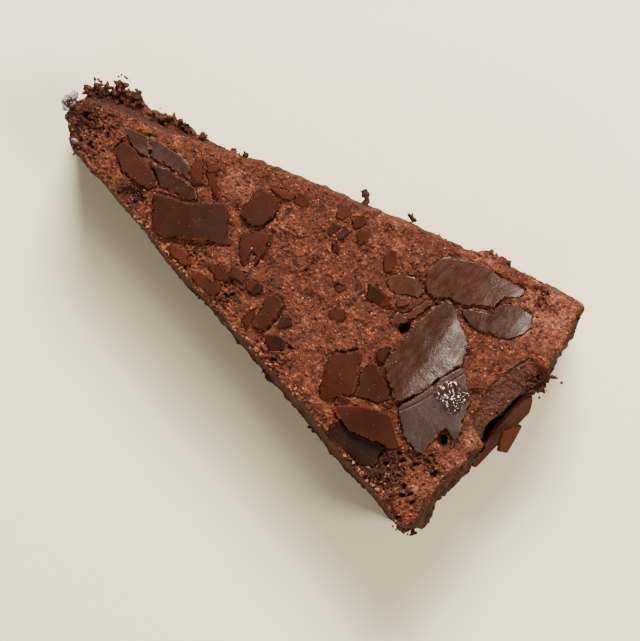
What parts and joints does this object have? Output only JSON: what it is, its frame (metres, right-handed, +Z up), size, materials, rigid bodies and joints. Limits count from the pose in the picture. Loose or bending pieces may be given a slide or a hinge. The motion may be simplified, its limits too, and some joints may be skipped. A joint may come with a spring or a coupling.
{
  "type": "slice of chocolate cake",
  "caption": "Wedge of dense chocolate cake with a blunt broken tip, a crumbling top and thin broken plates of crust lying on it.",
  "frame": {"origin": "middle of the slice's footprint, on the surface it stands on", "axes": "+X from the tip to the baked outer side, +Z up through the crusted top"},
  "size_m": [0.1268, 0.0662, 0.0339],
  "materials": {
    "crumb": "matte",
    "crust": "satin",
    "moist_crust": "gloss"
  },
  "bodies": {
    "root": {"cake": "crumb", "shard_tip_long": "crust", "shard_tip_long_end": "crust", "shard_tip_lower": "crust", "shard_tip_middle": "crust", "shard_broad_rectangle": "crust", "shard_square": "crust", "shard_trapezoid": "crust", "shard_edge_oval": "crust", "shard_left_pentagon": "crust", "shard_centre_fan": "crust", "shard_ribbed_oval": "crust", "shard_long_strip": "crust", "shard_upper_plate": "crust", "shard_corner_plate": "crust", "shard_main_plate": "crust", "shard_glossy_plate": "moist_crust", "shard_rim_lit": "crust", "shard_dark_underlayer": "crust", "shard_side_sheet": "crust", "shard_side_splinter": "crust"}
  },
  "joints": []
}
